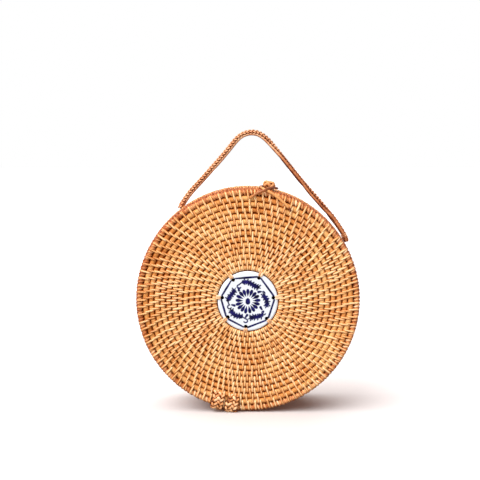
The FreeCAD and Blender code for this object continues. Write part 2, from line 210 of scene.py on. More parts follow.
# colours from dark to pale
canes = {
    "stitch": {
        "name": "stitchCane", "roughness": 0.3, "coat": 0.06, "shine": 0.2,
        "colours": ((0.40, 0.10, 0.010), (0.82, 0.40, 0.138), (0.95, 0.665, 0.36)),
    },
    "core": {
        "name": "coreCane", "roughness": 0.55, "coat": 0.0, "shine": 0.03, "middle": 0.4,
        "colours": ((0.20, 0.034, 0.001), (0.70, 0.27, 0.068), (0.90, 0.515, 0.20)),
    },
    "rim": {
        "name": "rimCane", "roughness": 0.34, "coat": 0.06, "shine": 0.18,
        "colours": ((0.40, 0.10, 0.018), (0.86, 0.44, 0.18), (0.98, 0.80, 0.53)),
    },
    "rod": {
        "name": "rodCane", "roughness": 0.5, "shine": 0.1,
        "colours": ((0.20, 0.035, 0.004), (0.58, 0.19, 0.055), (0.88, 0.44, 0.19)),
    },
    "plait": {
        "name": "plaitCane", "shine": 0.15,
        "colours": ((0.12, 0.014, 0.002), (0.64, 0.235, 0.09), (0.97, 0.64, 0.38)),
    },
    "hinge": {
        "name": "hingeCane", "shine": 0.12,
        "colours": ((0.12, 0.02, 0.003), (0.70, 0.27, 0.085), (0.96, 0.62, 0.35)),
    },
    "thong": {
        "name": "thongSkin", "roughness": 0.38,
        "colours": ((0.16, 0.03, 0.005), (0.52, 0.18, 0.045), (0.90, 0.46, 0.16)),
    },
    "knob": {
        "name": "knobCane", "shine": 0.12,
        "colours": ((0.16, 0.02, 0.002), (0.68, 0.27, 0.09), (0.93, 0.54, 0.25)),
    },
    "tie": {
        "name": "tieCane",
        "colours": ((0.70, 0.35, 0.16), (0.86, 0.50, 0.27), (0.95, 0.66, 0.40)),
    },
}


def caneMaterial(name, colours, middle=0.5, roughness=0.42, coat=0.05, shine=0.25):
    look = caneLook
    mat, nodes, links, shader, place = freshMaterial(
        name, roughness, look["bumpScale"], look["bumpDepth"], coat, look["coatRoughness"], shine,
    )
    # painted shade from the edge attribute is taken off each strip's tone
    shade = addShare(nodes, links, attributeNamed(nodes, "edge"), -1.0, attributeNamed(nodes, "tone"))
    for part in ("blotch", "streak"):
        noise = noiseFrom(nodes, links, place, look[part + "Scale"], look[part + "Detail"])
        shade = addShare(nodes, links, noise, look[part + "Share"], shade)
    centred = nodes.new("ShaderNodeMath")
    centred.operation = "SUBTRACT"
    centred.inputs[1].default_value = look["blotchShare"] / 2 + look["streakShare"] / 2
    links.new(shade, centred.inputs[0])
    colour = rampFrom(nodes, links, centred.outputs["Value"], list(zip((0.0, middle, 1.0), colours)))
    amount = nodes.new("ShaderNodeMapRange")
    amount.inputs["From Min"].default_value = look["flushFrom"]
    amount.inputs["From Max"].default_value = look["flushTo"]
    amount.inputs["To Max"].default_value = look["flushMost"]
    links.new(noiseFrom(nodes, links, place, look["flushScale"], look["flushDetail"]), amount.inputs["Value"])
    redder = nodes.new("ShaderNodeMix")
    redder.data_type = "RGBA"
    redder.blend_type = "MULTIPLY"
    redder.inputs["B"].default_value = (*look["flushColour"], 1)
    links.new(amount.outputs["Result"], redder.inputs["Factor"])
    links.new(colour, redder.inputs["A"])
    links.new(redder.outputs["Result"], shader.inputs["Base Color"])
    return mat


finishes = {key: caneMaterial(**settings) for key, settings in canes.items()}
print("finishes ready:", len(finishes))


# mesh building

def newBuild():
    # tone is a strip's own tone, edge is painted shade
    return {"verts": [], "faces": [], "tone": [], "edge": []}


# faces between equal sections, one after the other
def skinInto(build, first, count, sides, closed=False):
    for i in range(count if closed else count - 1):
        here, there = first + i * sides, first + (i + 1) % count * sides
        for j in range(sides):
            k = (j + 1) % sides
            build["faces"].append((here + j, here + k, there + k, there + j))


# the two ends of such a skin
def capsInto(build, first, count, sides):
    build["faces"].append(tuple(first + j for j in reversed(range(sides))))
    build["faces"].append(tuple(first + (count - 1) * sides + j for j in range(sides)))


# a strip of any section along a path; ups give the section's own up at each point
def stripInto(build, path, ups, section, closed=False, tone=0.5, widths=None):
    count, sides, first = len(path), len(section), len(build["verts"])
    for i, point in enumerate(path):
        ahead = path[(i + 1) % count] if closed or i + 1 < count else point
        behind = path[i - 1] if closed or i else point
        along = (ahead - behind).normalized()
        side = ups[i].cross(along).normalized()
        lift = along.cross(side)
        grow = widths[i] if widths else 1.0
        for x, z in section:
            build["verts"].append(point + side * (x * grow) + lift * (z * grow))
            build["tone"].append(tone[i] if isinstance(tone, list) else tone)
            build["edge"].append(0.0)
    skinInto(build, first, count, sides, closed)
    if not closed:
        capsInto(build, first, count, sides)


def ovalSection(width, thick, sides=8):
    steps = [2 * math.pi * j / sides for j in range(sides)]
    return [(width / 2 * math.cos(s), thick / 2 * math.sin(s)) for s in steps]


def pieceFrom(name, build, material):
    mesh = bpy.data.meshes.new(name)
    mesh.from_pydata([tuple(v) for v in build["verts"]], [], build["faces"], shade_flat=False)
    for label in ("tone", "edge"):
        if len(build[label]) == len(build["verts"]):
            mesh.attributes.new(label, "FLOAT", "POINT").data.foreach_set("value", build[label])
    mesh.materials.append(material)
    mesh.update()
    piece = bpy.data.objects.new(name, mesh)
    scene.collection.objects.link(piece)
    return piece


def wear(piece, body, slot, *nodes):
    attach(piece, body)
    if nodes:
        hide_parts(*nodes)
    print("piece", piece.name, len(piece.data.polygons), "faces on", body)


# of several pieces the first, the coils, stands for the CAD node
def wearAll(pieces, body, slot, node):
    wear(pieces[0], body, slot, node)
    for piece in pieces[1:]:
        wear(piece, body, slot)


# Geometry Nodes: one shape laid at every point, turned and stretched by the point's own attributes
def scatterTree():
    tree = bpy.data.node_groups.new("layStrips", "GeometryNodeTree")
    tree.interface.new_socket("Geometry", in_out="INPUT", socket_type="NodeSocketGeometry")
    tree.interface.new_socket("Shape", in_out="INPUT", socket_type="NodeSocketObject")
    tree.interface.new_socket("Finish", in_out="INPUT", socket_type="NodeSocketMaterial")
    tree.interface.new_socket("Size", in_out="INPUT", socket_type="NodeSocketFloat").default_value = 1.0
    tree.interface.new_socket("Geometry", in_out="OUTPUT", socket_type="NodeSocketGeometry")
    nodes, links = tree.nodes, tree.links
    start = nodes.new("NodeGroupInput")
    end = nodes.new("NodeGroupOutput")
    shape = nodes.new("GeometryNodeObjectInfo")
    fields = {}
    for label in ("turn", "stretch"):
        field = nodes.new("GeometryNodeInputNamedAttribute")
        field.data_type = "FLOAT_VECTOR"
        field.inputs["Name"].default_value = label
        fields[label] = field.outputs["Attribute"]
    euler = nodes.new("FunctionNodeEulerToRotation")
    scaled = nodes.new("ShaderNodeVectorMath")
    scaled.operation = "SCALE"
    lay = nodes.new("GeometryNodeInstanceOnPoints")
    real = nodes.new("GeometryNodeRealizeInstances")
    paint = nodes.new("GeometryNodeSetMaterial")
    links.new(start.outputs["Geometry"], lay.inputs["Points"])
    links.new(start.outputs["Shape"], shape.inputs["Object"])
    links.new(shape.outputs["Geometry"], lay.inputs["Instance"])
    links.new(fields["turn"], euler.inputs["Euler"])
    links.new(euler.outputs["Rotation"], lay.inputs["Rotation"])
    links.new(fields["stretch"], scaled.inputs[0])
    links.new(start.outputs["Size"], scaled.inputs["Scale"])
    links.new(scaled.outputs["Vector"], lay.inputs["Scale"])
    links.new(lay.outputs["Instances"], real.inputs["Geometry"])
    links.new(real.outputs["Geometry"], paint.inputs["Geometry"])
    links.new(start.outputs["Finish"], paint.inputs["Material"])
    links.new(paint.outputs["Geometry"], end.inputs["Geometry"])
    return tree


stripTree = scatterTree()
treeInputs = {item.name: item.identifier for item in stripTree.interface.items_tree if item.in_out == "INPUT"}


# the modifiers' result as a plain mesh
def settle(piece):
    bpy.context.view_layer.update()
    solid = bpy.data.meshes.new_from_object(piece.evaluated_get(bpy.context.evaluated_depsgraph_get()))
    piece.modifiers.clear()
    piece.data = solid
    return solid


# spots: (point, euler turn, stretch, tone)
def layStrips(name, spots, shape, material):
    points, turns, stretches, tones = zip(*spots)
    mesh = bpy.data.meshes.new(name + "Points")
    mesh.from_pydata([tuple(p) for p in points], [], [])
    for label, vectors in (("turn", turns), ("stretch", stretches)):
        values = [c for vector in vectors for c in vector]
        mesh.attributes.new(label, "FLOAT_VECTOR", "POINT").data.foreach_set("vector", values)
    mesh.attributes.new("tone", "FLOAT", "POINT").data.foreach_set("value", tones)
    piece = bpy.data.objects.new(name, mesh)
    scene.collection.objects.link(piece)
    scene.collection.objects.link(shape)
    layer = piece.modifiers.new("layStrips", "NODES")
    layer.node_group = stripTree
    layer[treeInputs["Shape"]] = shape
    layer[treeInputs["Finish"]] = material
    layer[treeInputs["Size"]] = 1.0
    solid = settle(piece)
    solid.name = name
    scene.collection.objects.unlink(shape)
    for stray in ("turn", "stretch"):
        if stray in solid.attributes:
            solid.attributes.remove(solid.attributes[stray])
    return piece


# core cane
coil = {
    "step": 2.6 * mm,  # along the cane
    "leastSteps": 24,
    "sides": 16,
    "overlap": 0.1 * mm,  # neighbours press into each other
    "wide": 1.04,
    "tones": (0.3, 1.0),
    "stepsPerTone": 5,
    "leastTones": 6,
    "valleyShade": 1.1,  # painted shade where coils lie against each other
    "lastValleyShade": 0.6,
    "valleyShadeFrom": 0.62,
    "valleyShadeOver": 0.25,
    "leftDarkening": 0.18,  # darker on the left, near the rim
    "darkeningSide": -55,
    "darkeningFrom": 74 * mm,
    "darkeningOver": 16 * mm,
}


# one closed turn; valley is the direction of its neighbours, 0 outwards, a quarter turn to the front
def ringInto(build, radius, depth, rod, rng, valley=0.0, wide=1.0, valleyShade=coil["valleyShade"], coilShade=0.0):
    count, sides = max(coil["leastSteps"], int(2 * math.pi * radius / coil["step"])), coil["sides"]
    toneCount = max(coil["leastTones"], count // coil["stepsPerTone"])
    # tones lowered for the wall's coils: painted shade
    tones = [rng.uniform(*coil["tones"]) - coilShade for _ in range(toneCount)]
    leftDarkening = coil["leftDarkening"] * rise(radius, coil["darkeningFrom"], coil["darkeningOver"])
    first = len(build["verts"])
    for i in range(count):
        angle = 360.0 * i / count
        spot = i * toneCount / count
        low, share = int(spot), spot % 1
        tone = tones[low] * (1 - share) + tones[(low + 1) % toneCount] * share
        tone -= leftDarkening * onSide(angle, coil["darkeningSide"])
        for j in range(sides):
            bend = 2 * math.pi * j / sides
            across, out = rod * math.cos(bend), rod * math.sin(bend)
            across, out = (across * wide, out) if valley == 0 else (across, out * wide)
            # painted shade on the side of the coil that lies against its neighbours
            near = rise(abs(math.cos(bend - valley)), coil["valleyShadeFrom"], coil["valleyShadeOver"])
            build["verts"].append(bagPoint(angle, radius + across, depth) + front * out)
            build["tone"].append(tone - valleyShade * near)
    skinInto(build, first, count, sides, closed=True)


# stitch columns: each row starts a strip's width further round than the row inside it,
# and a new column starts where the columns have spread too far apart
weave = {
    "stripWidth": 2.15 * mm,
    "stripThick": 1.1 * mm,
    "section": (
        (1.0, 0.0, 1.0), (0.85, 0.55, 0.6), (0.45, 0.93, 0.05), (0.0, 1.0, -0.15),
        (-0.45, 0.93, 0.05), (-0.85, 0.55, 0.6), (-1.0, 0.0, 1.0),
    ),  # across, height, darkness; the darkness is painted shade on the flanks
    "overCoil": 0.2 * mm,
    "sunk": 0.4,  # share of the thickness that is in the coil
    "tuck": 1.2 * mm,  # how far the ends go down between the coils
    "taper": 0.2,
    "dip": 0.35 * mm,  # one end lies lower
    "dim": 0.3,  # and is darker, painted shade
    "sides": (("Outer", 12, True), ("Inner", 8, False)),  # label, steps along a stitch, whole section
    "driftPerRow": 1.85 * mm,
    "lean": ((60 * mm, 1.0), (85 * mm, 4.0)),  # radius, degrees
    "leanJitter": 3.5,
    "widths": (0.88, 1.12),
    "heights": (0.97, 1.03),
    "tones": (0.5, 0.95),
    "leftDarkening": 0.22,  # darker on the left, near the rim
    "darkeningSide": -72,
    "darkeningFrom": 76 * mm,
    "darkeningOver": 16 * mm,
    "overRim": 0.7 * mm,  # the last row reaches further over the rim
    "columns": (
        (8 * mm, 12), (13 * mm, 18), (18 * mm, 25), (24 * mm, 33), (31 * mm, 41), (46 * mm, 50),
        (62 * mm, 65), (67 * mm, 73), (78 * mm, 81), (86 * mm, 89),
    ),  # outer radius of each band, columns in it
    "lastColumns": 96,
    "startJitter": 1.2,
    "rowJitter": 0.25,
    "gapJitter": (0.85, 1.15),
    "easePasses": 9,  # evens out the columns of a row
    "ease": 0.35,
    "seed": 11,
}


# a stitch over one or two coils: x across, y along, z out of the surface, coil middles at z = 0
def stitchShape(name, pitch, humps, steps, fine):
    crown = pitch / 2 + weave["overCoil"]
    reach = pitch * humps / 2
    section = weave["section"] if fine else weave["section"][::2]
    sides = len(section)
    build = newBuild()
    for i in range(steps + 1):
        y = reach * (2 * i / steps - 1)
        over = max(abs(y) - pitch / 2, 0) if humps == 2 else abs(y)
        share = over / (pitch / 2)
        z = math.sqrt(crown ** 2 - over ** 2) - weave["tuck"] * share ** 4
        taper = 1.0 - weave["taper"] * share ** 3
        dip = weave["dip"] * y / reach if humps == 2 else 0.0
        dim = max(0.0, y / reach) ** 2 * weave["dim"]
        for x, high, dark in section:
            lift = weave["stripThick"] * (high - weave["sunk"])
            build["verts"].append(Vector((x * weave["stripWidth"] / 2 * taper, y, z + lift - dip)))
            # painted shade on the stitch's flanks and on its lower end
            build["edge"].append(dark + dim)
    for i in range(steps):
        for j in range(sides - 1):
            here = i * sides + j
            build["faces"].append((here, here + sides, here + sides + 1, here + 1))
    piece = pieceFrom(name, build, finishes["stitch"])
    scene.collection.objects.unlink(piece)
    return piece


def columnCount(radius):
    for limit, count in weave["columns"]:
        if radius < limit:
            return count
    return weave["lastColumns"]


# degrees from each column to the next
def columnGaps(angles):
    return [(b - a) % 360 for a, b in zip(angles, angles[1:] + angles[:1])]


def stitchColumns(radii, rng, drift):
    count = columnCount(radii[0])
    angles = [360.0 * i / count + jitter(rng, weave["startJitter"]) for i in range(count)]
    rows = [sorted(a % 360 for a in angles)]
    for radius in radii[1:]:
        shift = math.degrees(drift / radius)
        angles = sorted((a + shift) % 360 for a in rows[-1])
        wanted = max(columnCount(radius), len(angles))
        while len(angles) < wanted:
            gaps = columnGaps(angles)
            _, i = max((gap * rng.uniform(*weave["gapJitter"]), i) for i, gap in enumerate(gaps))
            angles.append((angles[i] + gaps[i] / 2) % 360)
            angles.sort()
        for _ in range(weave["easePasses"]):
            gaps = columnGaps(angles)
            angles = [a + weave["ease"] * ((gaps[i] - gaps[i - 1]) / 2) for i, a in enumerate(angles)]
        rows.append(sorted(a % 360 for a in angles))
    return rows


# stitches of a flat disc; facing is -1 on the side towards the front, and the last ones run into the rim
def discStitches(inner, pitch, rows, firstRow, depth, facing, rng):
    drift = -weave["driftPerRow"]
    radii = [inner + (k + 1) * pitch for k in range(firstRow, rows)]
    columns = stitchColumns(radii, rng, drift)
    spots, shorts = [], []

    def spot(angle, radius):
        lean = float(np.interp(radius, *zip(*weave["lean"])))
        tilt = math.radians(angle - lean + jitter(rng, weave["leanJitter"]))
        turn = (math.pi / 2, tilt, 0) if facing < 0 else (math.pi / 2, -tilt, math.pi)
        size = (rng.uniform(*weave["widths"]), 1.0, rng.uniform(*weave["heights"]))
        leftDarkening = weave["leftDarkening"] * rise(radius, weave["darkeningFrom"], weave["darkeningOver"])
        tone = rng.uniform(*weave["tones"]) - leftDarkening * onSide(angle, weave["darkeningSide"])
        return (bagPoint(angle, radius, depth), turn, size, tone)

    for radius, angles in zip(radii, columns):
        place = radius + (weave["overRim"] if radius == radii[-1] else 0.0)
        for angle in angles:
            spots.append(spot(angle + jitter(rng, weave["rowJitter"]), place))
    for angle in columns[0]:
        shorts.append(spot(angle - math.degrees(drift / radii[0]), radii[0] - pitch / 2))
    return spots, shorts


def discPieces(name, inner, rows, firstRow, depth, facing, seed):
    rng = random.Random(seed)
    pitch = (bag["panelOuter"] - inner) / rows
    rod = pitch / 2 + coil["overlap"]
    build = newBuild()
    for k in range(firstRow, rows):
        # the outermost coil gets less painted shade
        valleyShade = coil["valleyShade"] if k < rows - 1 else coil["lastValleyShade"]
        ringInto(build, inner + (k + 0.5) * pitch, depth, rod, rng, wide=coil["wide"], valleyShade=valleyShade)
    if firstRow:  # the coil's start, a ring with no hole
        ringInto(build, pitch / 2, depth, rod, rng)
    done = [pieceFrom(name + "Coils", build, finishes["core"])]
    for (label, steps, fine), face in zip(weave["sides"], (facing, -facing)):
        spots, shorts = discStitches(inner, pitch, rows, firstRow, depth, face, rng)
        long = stitchShape(name + label + "Long", pitch, 2, steps, fine)
        short = stitchShape(name + label + "Short", pitch, 1, steps // 2, fine)
        done.append(layStrips(name + label + "Stitches", spots, long, finishes["stitch"]))
        done.append(layStrips(name + label + "EndStitches", shorts, short, finishes["stitch"]))
    return done


# rim coil with its whipping
rim = {
    "wraps": 194,
    "jitter": 0.12,  # share of a wrap's place
    "stripWidth": 2.0 * mm,
    "stripThick": 0.75 * mm,
    "widths": (0.8, 1.15),
    "lean": 4.4 * mm,
    "steps": 14,
    "sides": 4,
    "sunk": 0.2,  # share of the thickness that is in the coil
    "coilIn": 0.4 * mm,  # room for the whipping
    "wrapIn": 0.38 * mm,
    # painted shade where the rim coil lies against its neighbours
    "valleyShade": 0.8,
    "edgePower": 1.4,  # higher keeps the painted shade on the flanks narrower
    "outerShade": 0.6,
    "tones": (0.55, 1.2),
    "leftDarkening": 0.3,  # darker on the left
    "darkeningSide": -80,
    # darker tones for the mouth rim: painted shadow of the gap under the lid's rim
    "mouthTones": (-0.15, 0.25),
    "mouthSwell": 1.0 * mm,
    "seed": 21,
}


# one turn of whipping: x along the coil, y outwards
def wrapShape(name):
    steps, sides = rim["steps"], rim["sides"]
    build = newBuild()
    for i in range(steps):
        turn = 2 * math.pi * i / (steps - 1) - math.pi / 2
        shift = rim["lean"] * (i / (steps - 1) - 0.5)
        shade = rim["outerShade"] * max(0.0, math.cos(turn)) ** 3
        for j in range(sides):
            bend = math.pi * j / (sides - 1)
            radius = bag["rimRod"] - rim["wrapIn"] + rim["stripThick"] * (math.sin(bend) - rim["sunk"])
            x = shift + rim["stripWidth"] / 2 * math.cos(bend)
            build["verts"].append(Vector((x, radius * math.cos(turn), radius * math.sin(turn))))
            # painted shade on the wrap's flanks and on its outer side
            build["edge"].append(abs(math.cos(bend)) ** rim["edgePower"] + shade)
    for i in range(steps - 1):
        for j in range(sides - 1):
            here = i * sides + j
            build["faces"].append((here, here + 1, here + sides + 1, here + sides))
    piece = pieceFrom(name, build, finishes["rim"])
    scene.collection.objects.unlink(piece)
    return piece


def rimPieces(name, depth, seed, tones, swell=0.0):
    rng = random.Random(seed)
    radius = bag["lidRadius"] - bag["rimRod"] + swell
    build = newBuild()
    ringInto(build, radius, depth, bag["rimRod"] - rim["coilIn"], rng, valleyShade=rim["valleyShade"])
    rod = pieceFrom(name + "Coil", build, finishes["rod"])
    spots = []
    for i in range(rim["wraps"]):
        angle = 360.0 * (i + jitter(rng, rim["jitter"])) / rim["wraps"]
        turn = (math.pi / 2, math.radians(angle), 0)
        tone = rng.uniform(*tones) - rim["leftDarkening"] * onSide(angle, rim["darkeningSide"])
        spots.append((bagPoint(angle, radius, depth), turn, (rng.uniform(*rim["widths"]), 1, 1), tone))
    return [rod, layStrips(name + "Whipping", spots, wrapShape(name + "Wrap"), finishes["rim"])]


# lid
lidDisc = discPieces("lid", bag["panelInner"], bag["lidRows"], 0, bag["lidDepth"], -1, weave["seed"])
wearAll(lidDisc, "lid", "coiled_cane", "lid_panel")
lidRim = rimPieces("lidRim", bag["lidDepth"], rim["seed"], rim["tones"])
wearAll(lidRim, "lid", "rim_cane", "lid_rim")

# back
backDisc = discPieces("back", 0.0, bag["backRows"], 1, bag["backDepth"], 1, weave["seed"] + 1)
wearAll(backDisc, "basket", "coiled_cane", "back_panel")
backRim = rimPieces("backRim", bag["backDepth"], rim["seed"] + 1, rim["tones"])
wearAll(backRim, "basket", "rim_cane", "back_rim")

# mouth
mouthRim = rimPieces("mouthRim", bag["mouthDepth"], rim["seed"] + 2, rim["mouthTones"], rim["mouthSwell"])
wearAll(mouthRim, "basket", "rim_cane", "mouth_rim")


# side wall
wall = {
    "columns": 107,
    "jitter": 0.06,  # share of a stitch's place
    "sink": 0.4 * mm,
    "coilShade": 0.55,  # painted shade on the wall's coils
    # low tones for the wall's stitches: painted shade
    "tones": (0.15, 0.6),
    "frontShade": 0.35,  # darkens the first rows of stitches
    "shadeRows": 5,
    "roomAngle": 10,  # no stitches at the knob's seat
    "roomAcross": 2.2,
    "roomDepth": -18 * mm,
    "roomAlong": 2.5 * mm,
    "seed": 31,
}


def nearKnob(angle, depth):
    away = abs((angle - wall["roomAngle"] + 180) % 360 - 180)
    return away < wall["roomAcross"] and abs(depth - wall["roomDepth"]) < wall["roomAlong"]


def wallPieces():
    rng = random.Random(wall["seed"])
    pitch = (bag["wallBack"] - bag["wallFront"]) / bag["wallRows"]
    rod = pitch / 2 + coil["overlap"]
    build = newBuild()
    for k in range(bag["wallRows"]):
        depth = bag["wallFront"] + (k + 0.5) * pitch
        radius = wallRadius(depth) - wall["sink"] - rod
        ringInto(build, radius, depth, rod, rng, math.pi / 2, coil["wide"], coilShade=wall["coilShade"])
    done = [pieceFrom("wallCoils", build, finishes["core"])]
    for (label, steps, fine), over in zip(weave["sides"], (0.0, math.pi)):
        spots = []
        for k in range(bag["wallRows"] + 1):
            depth = bag["wallFront"] + k * pitch
            radius = wallRadius(depth) - wall["sink"] - rod
            slope = math.atan2(wallRadius(depth + mm) - wallRadius(depth - mm), 2 * mm)
            shade = wall["frontShade"] * max(0.0, 1 - k / wall["shadeRows"])
            for i in range(wall["columns"]):
                angle = 360.0 * (i + jitter(rng, wall["jitter"])) / wall["columns"]
                angle += math.degrees(k * weave["driftPerRow"] / bag["lidRadius"])
                size = (rng.uniform(*weave["widths"]), 1.0, 1.0)
                if over or not nearKnob(angle, depth):
                    turn = (over + slope, math.radians(angle), 0)
                    tone = rng.uniform(*wall["tones"]) - shade
                    spots.append((bagPoint(angle, radius, depth), turn, size, tone))
        shape = stitchShape("wall" + label + "Long", pitch, 2, steps, fine)
        done.append(layStrips("wall" + label + "Stitches", spots, shape, finishes["stitch"]))
    for piece in done:
        for v in piece.data.vertices:
            v.co.z = max(v.co.z, bag["lowest"])
    return done


wearAll(wallPieces(), "basket", "coiled_cane", "side_wall")


# plaiting: an odd number of strips swing from side to side, over and under each other
plaiting = {
    "tones": (0.78, 1.0),
    "corner": 0.95,  # 1 turns each strip sharply at the sides
    "shadeBelow": 0.3,
    "edgeShade": 0.8,
    "pushes": 12,  # along a ragged strip
    "pushUp": 0.5,
}


def plaitInto(build, path, sides, tops, plait, rng, start=0.0):
    section = ovalSection(plait["stripWidth"], plait["stripThick"])
    corner, pushes, pushUp = plaiting["corner"], plaiting["pushes"], plaiting["pushUp"]
    runs = [0.0]
    for a, b in zip(path, path[1:]):
        runs.append(runs[-1] + (b - a).length)
    for strip in range(plait["strips"]):
        points, tones, base = [], [], rng.uniform(*plaiting["tones"])
        for point, side, top, run in zip(path, sides, tops, runs):
            turn = 2 * math.pi * (run / plait["period"] + strip / plait["strips"]) + start
            swing = plait["swing"] * math.asin(corner * math.sin(turn)) / math.asin(corner)
            over = math.sin((plait["strips"] - 1) * turn)
            points.append(point + side * swing + top * (plait["height"] * over))
            # painted shade where the strip goes under the others
            tones.append(base - plait["underShade"] * max(0.0, plaiting["shadeBelow"] - over))
        if "ragged" in plait:
            knots = [rng.uniform(-1, 1) for _ in range(pushes)]
            shove = np.interp(np.linspace(0, pushes - 1, len(points)), range(pushes), knots).tolist()
            moves = [(s + t * pushUp) * (k * plait["ragged"]) for s, t, k in zip(sides, tops, shove)]
            points = [p + move for p, move in zip(points, moves)]
            tones = [t + plait["patchy"] * k for t, k in zip(tones, shove)]
        first = len(build["verts"])
        stripInto(build, points, tops, section, tone=tones)
        for at in range(first, len(build["verts"])):
            x, _ = section[(at - first) % len(section)]
            build["edge"][at] = plaiting["edgeShade"] * (abs(x) / (plait["stripWidth"] / 2)) ** 2


# handle: a plait on two canes, from the left end over the top to the right end (mm from the face's middle)
handle = {
    "depth": 2.95 * mm,
    "route": (
        (-62.4, 81.2), (-61.2, 84.2), (-58.3, 89.0), (-55.0, 93.8), (-51.3, 98.2), (-42.6, 107.4),
        (-34.4, 116.6), (-26.0, 125.8), (-18.4, 134.8), (-11.8, 143.2), (-6.6, 148.2), (-0.5, 150.6),
        (5.0, 151.0), (10.8, 149.6), (17.6, 144.6), (25.8, 134.9), (33.2, 125.7), (40.6, 116.5),
        (48.1, 107.3), (55.9, 98.2), (64.3, 88.9), (72.0, 79.9), (79.8, 70.6), (86.0, 61.6),
        (89.6, 55.4), (91.2, 50.2),
    ),
    "step": 0.8 * mm,
    "strips": 3,
    "swing": 1.65 * mm,
    "height": 0.85 * mm,
    "period": 10.0 * mm,
    "stripWidth": 1.55 * mm,
    "stripThick": 1.25 * mm,
    "ridge": 1.2 * mm,  # the plait's middle from the handle's
    "turns": (
        (0, 38), (0.5, 45), (0.58, 92), (0.7, 100), (0.76, 62), (0.83, 66), (0.89, 112), (1, 100),
    ),  # share, plait's turn from the front
    "grow": ((0.0, 1.0), (0.5, 1.0), (0.65, 1.08), (0.88, 1.1), (1.0, 0.9)),  # share, size
    # painted shade where the plait's strips go under
    "underShade": 0.85,
    "caneRadius": 1.4 * mm,
    "caneSides": 12,
    "caneOut": 1.5 * mm,
    "caneTurn": 108,  # from the plait to either side
    "caneTone": 0.78,
    "caneJitter": 0.12,
    "dim": 0.45,  # painted shade: darker canes past the top
    "dimFrom": 0.5,
    "dimOver": 0.12,
    "gap": 3.33 * mm,  # between the painted shade spots along the canes
    "gapFrom": 0.5,
    "gapOver": 0.3,
    "line": 0.7,  # painted shade line on the inside
    "lineFrom": 0.5,
    "lineOver": 0.2,
    "seed": 41,
}

# strips round the handle's two ends
binding = {
    "ends": ((3, 2), (-4, -2)),  # first place on the handle's path, step to the next
    "turns": 4,
    "steps": 16,
    "across": 2.4 * mm,
    "deep": 2.2 * mm,
    "stripWidth": 1.6 * mm,
    "stripThick": 0.8 * mm,
    "stripSides": 6,
    "tones": (0.1, 0.7),
}


def bindingInto(build, path, outsides, rng):
    section = ovalSection(binding["stripWidth"], binding["stripThick"], binding["stripSides"])
    turns = np.linspace(0, 2 * math.pi, binding["steps"] + 1)[:-1]
    flat = [(binding["across"] * math.cos(t), binding["deep"] * math.sin(t)) for t in turns]
    for start, step in binding["ends"]:
        for k in range(binding["turns"]):
            at = path[start + step * k]
            ring = [at + outsides[start] * x + front * y for x, y in flat]
            ups = [(p - at).normalized() for p in ring]
            stripInto(build, ring, ups, section, True, rng.uniform(*binding["tones"]))


def handlePiece():
    rng = random.Random(handle["seed"])
    points = [Vector((x * mm, handle["depth"], bag["axisHeight"] + z * mm)) for x, z in handle["route"]]
    path = smoothPath(points, handle["step"])
    turns, grow = (alongPath(handle[label], len(path)) for label in ("turns", "grow"))
    tops, sides, outsides, ridge, canePaths = [], [], [], [], ([], [])
    for i, (point, along) in enumerate(zip(path, headings(path))):
        outside = front.cross(along).normalized()
        outsides.append(outside)

        def facing(degrees):
            return front * math.cos(math.radians(degrees)) + outside * math.sin(math.radians(degrees))

        tops.append(facing(turns[i]))
        sides.append(along.cross(tops[-1]))
        ridge.append(point + tops[-1] * (handle["ridge"] * grow[i]))
        for canePath, shift in zip(canePaths, (-handle["caneTurn"], handle["caneTurn"])):
            out = facing(turns[i] + shift)
            canePath.append((point + out * (handle["caneOut"] * grow[i]), out))
    build = newBuild()
    plaitInto(build, ridge, sides, tops, handle, rng)
    rod = ovalSection(2 * handle["caneRadius"], 2 * handle["caneRadius"], handle["caneSides"])
    for canePath, phase in zip(canePaths, (0.0, math.pi)):
        first, run, tones = len(build["verts"]), 0.0, []
        middles, ups = zip(*canePath)
        for share in np.linspace(0, 1, len(path)):
            tone = handle["caneTone"] - handle["dim"] * rise(share, handle["dimFrom"], handle["dimOver"])
            tones.append(tone + jitter(rng, handle["caneJitter"]))
        stripInto(build, middles, ups, rod, tone=tones, widths=grow)
        for i, middle in enumerate(middles):
            run += (middle - middles[max(i - 1, 0)]).length
            gap = max(0.0, math.cos(2 * math.pi * run / handle["gap"] + phase))
            inward = (ridge[i] - middle).normalized()
            for at in range(first + i * len(rod), first + (i + 1) * len(rod)):
                normal = (build["verts"][at] - middle).normalized()
                under = rise(normal.dot(inward), handle["gapFrom"], handle["gapOver"])
                line = rise(normal.dot(-outsides[i]), handle["lineFrom"], handle["lineOver"])
                # painted shade where the cane faces the plait, in spots, and along the inside
                build["edge"][at] = under * (0.5 + 0.5 * gap) + handle["line"] * line
    bindingInto(build, path, outsides, rng)
    return pieceFrom("handlePlait", build, finishes["plait"])


wear(handlePiece(), "carrying_handle", "plaited_cane", "handle")


# a button knot: one strip going round and up and down, over and under itself
knot = {"steps": 120, "turns": 3, "waves": 5, "tilt": 52, "overUnder": 0.06, "tone": 0.65, "stripSides": 6}


def knotInto(build, centre, axis, across, radius, height, strip, thick):
    third = axis.cross(across)
    points, ups = [], []
    for i in range(knot["steps"]):
        turn = 2 * math.pi * knot["turns"] * i / knot["steps"]
        tilt = math.radians(knot["tilt"]) * math.cos(knot["waves"] * turn / knot["turns"])
        lift = 1.0 + knot["overUnder"] * math.sin(2 * knot["waves"] * turn / knot["turns"])
        flat = across * math.cos(turn) + third * math.sin(turn)
        wide, high = radius * lift * math.cos(tilt), height * lift * math.sin(tilt)
        points.append(centre + flat * wide + axis * high)
        ups.append(flat * math.cos(tilt) + axis * math.sin(tilt))
    stripInto(build, points, ups, ovalSection(strip, thick, knot["stripSides"]), True, knot["tone"])


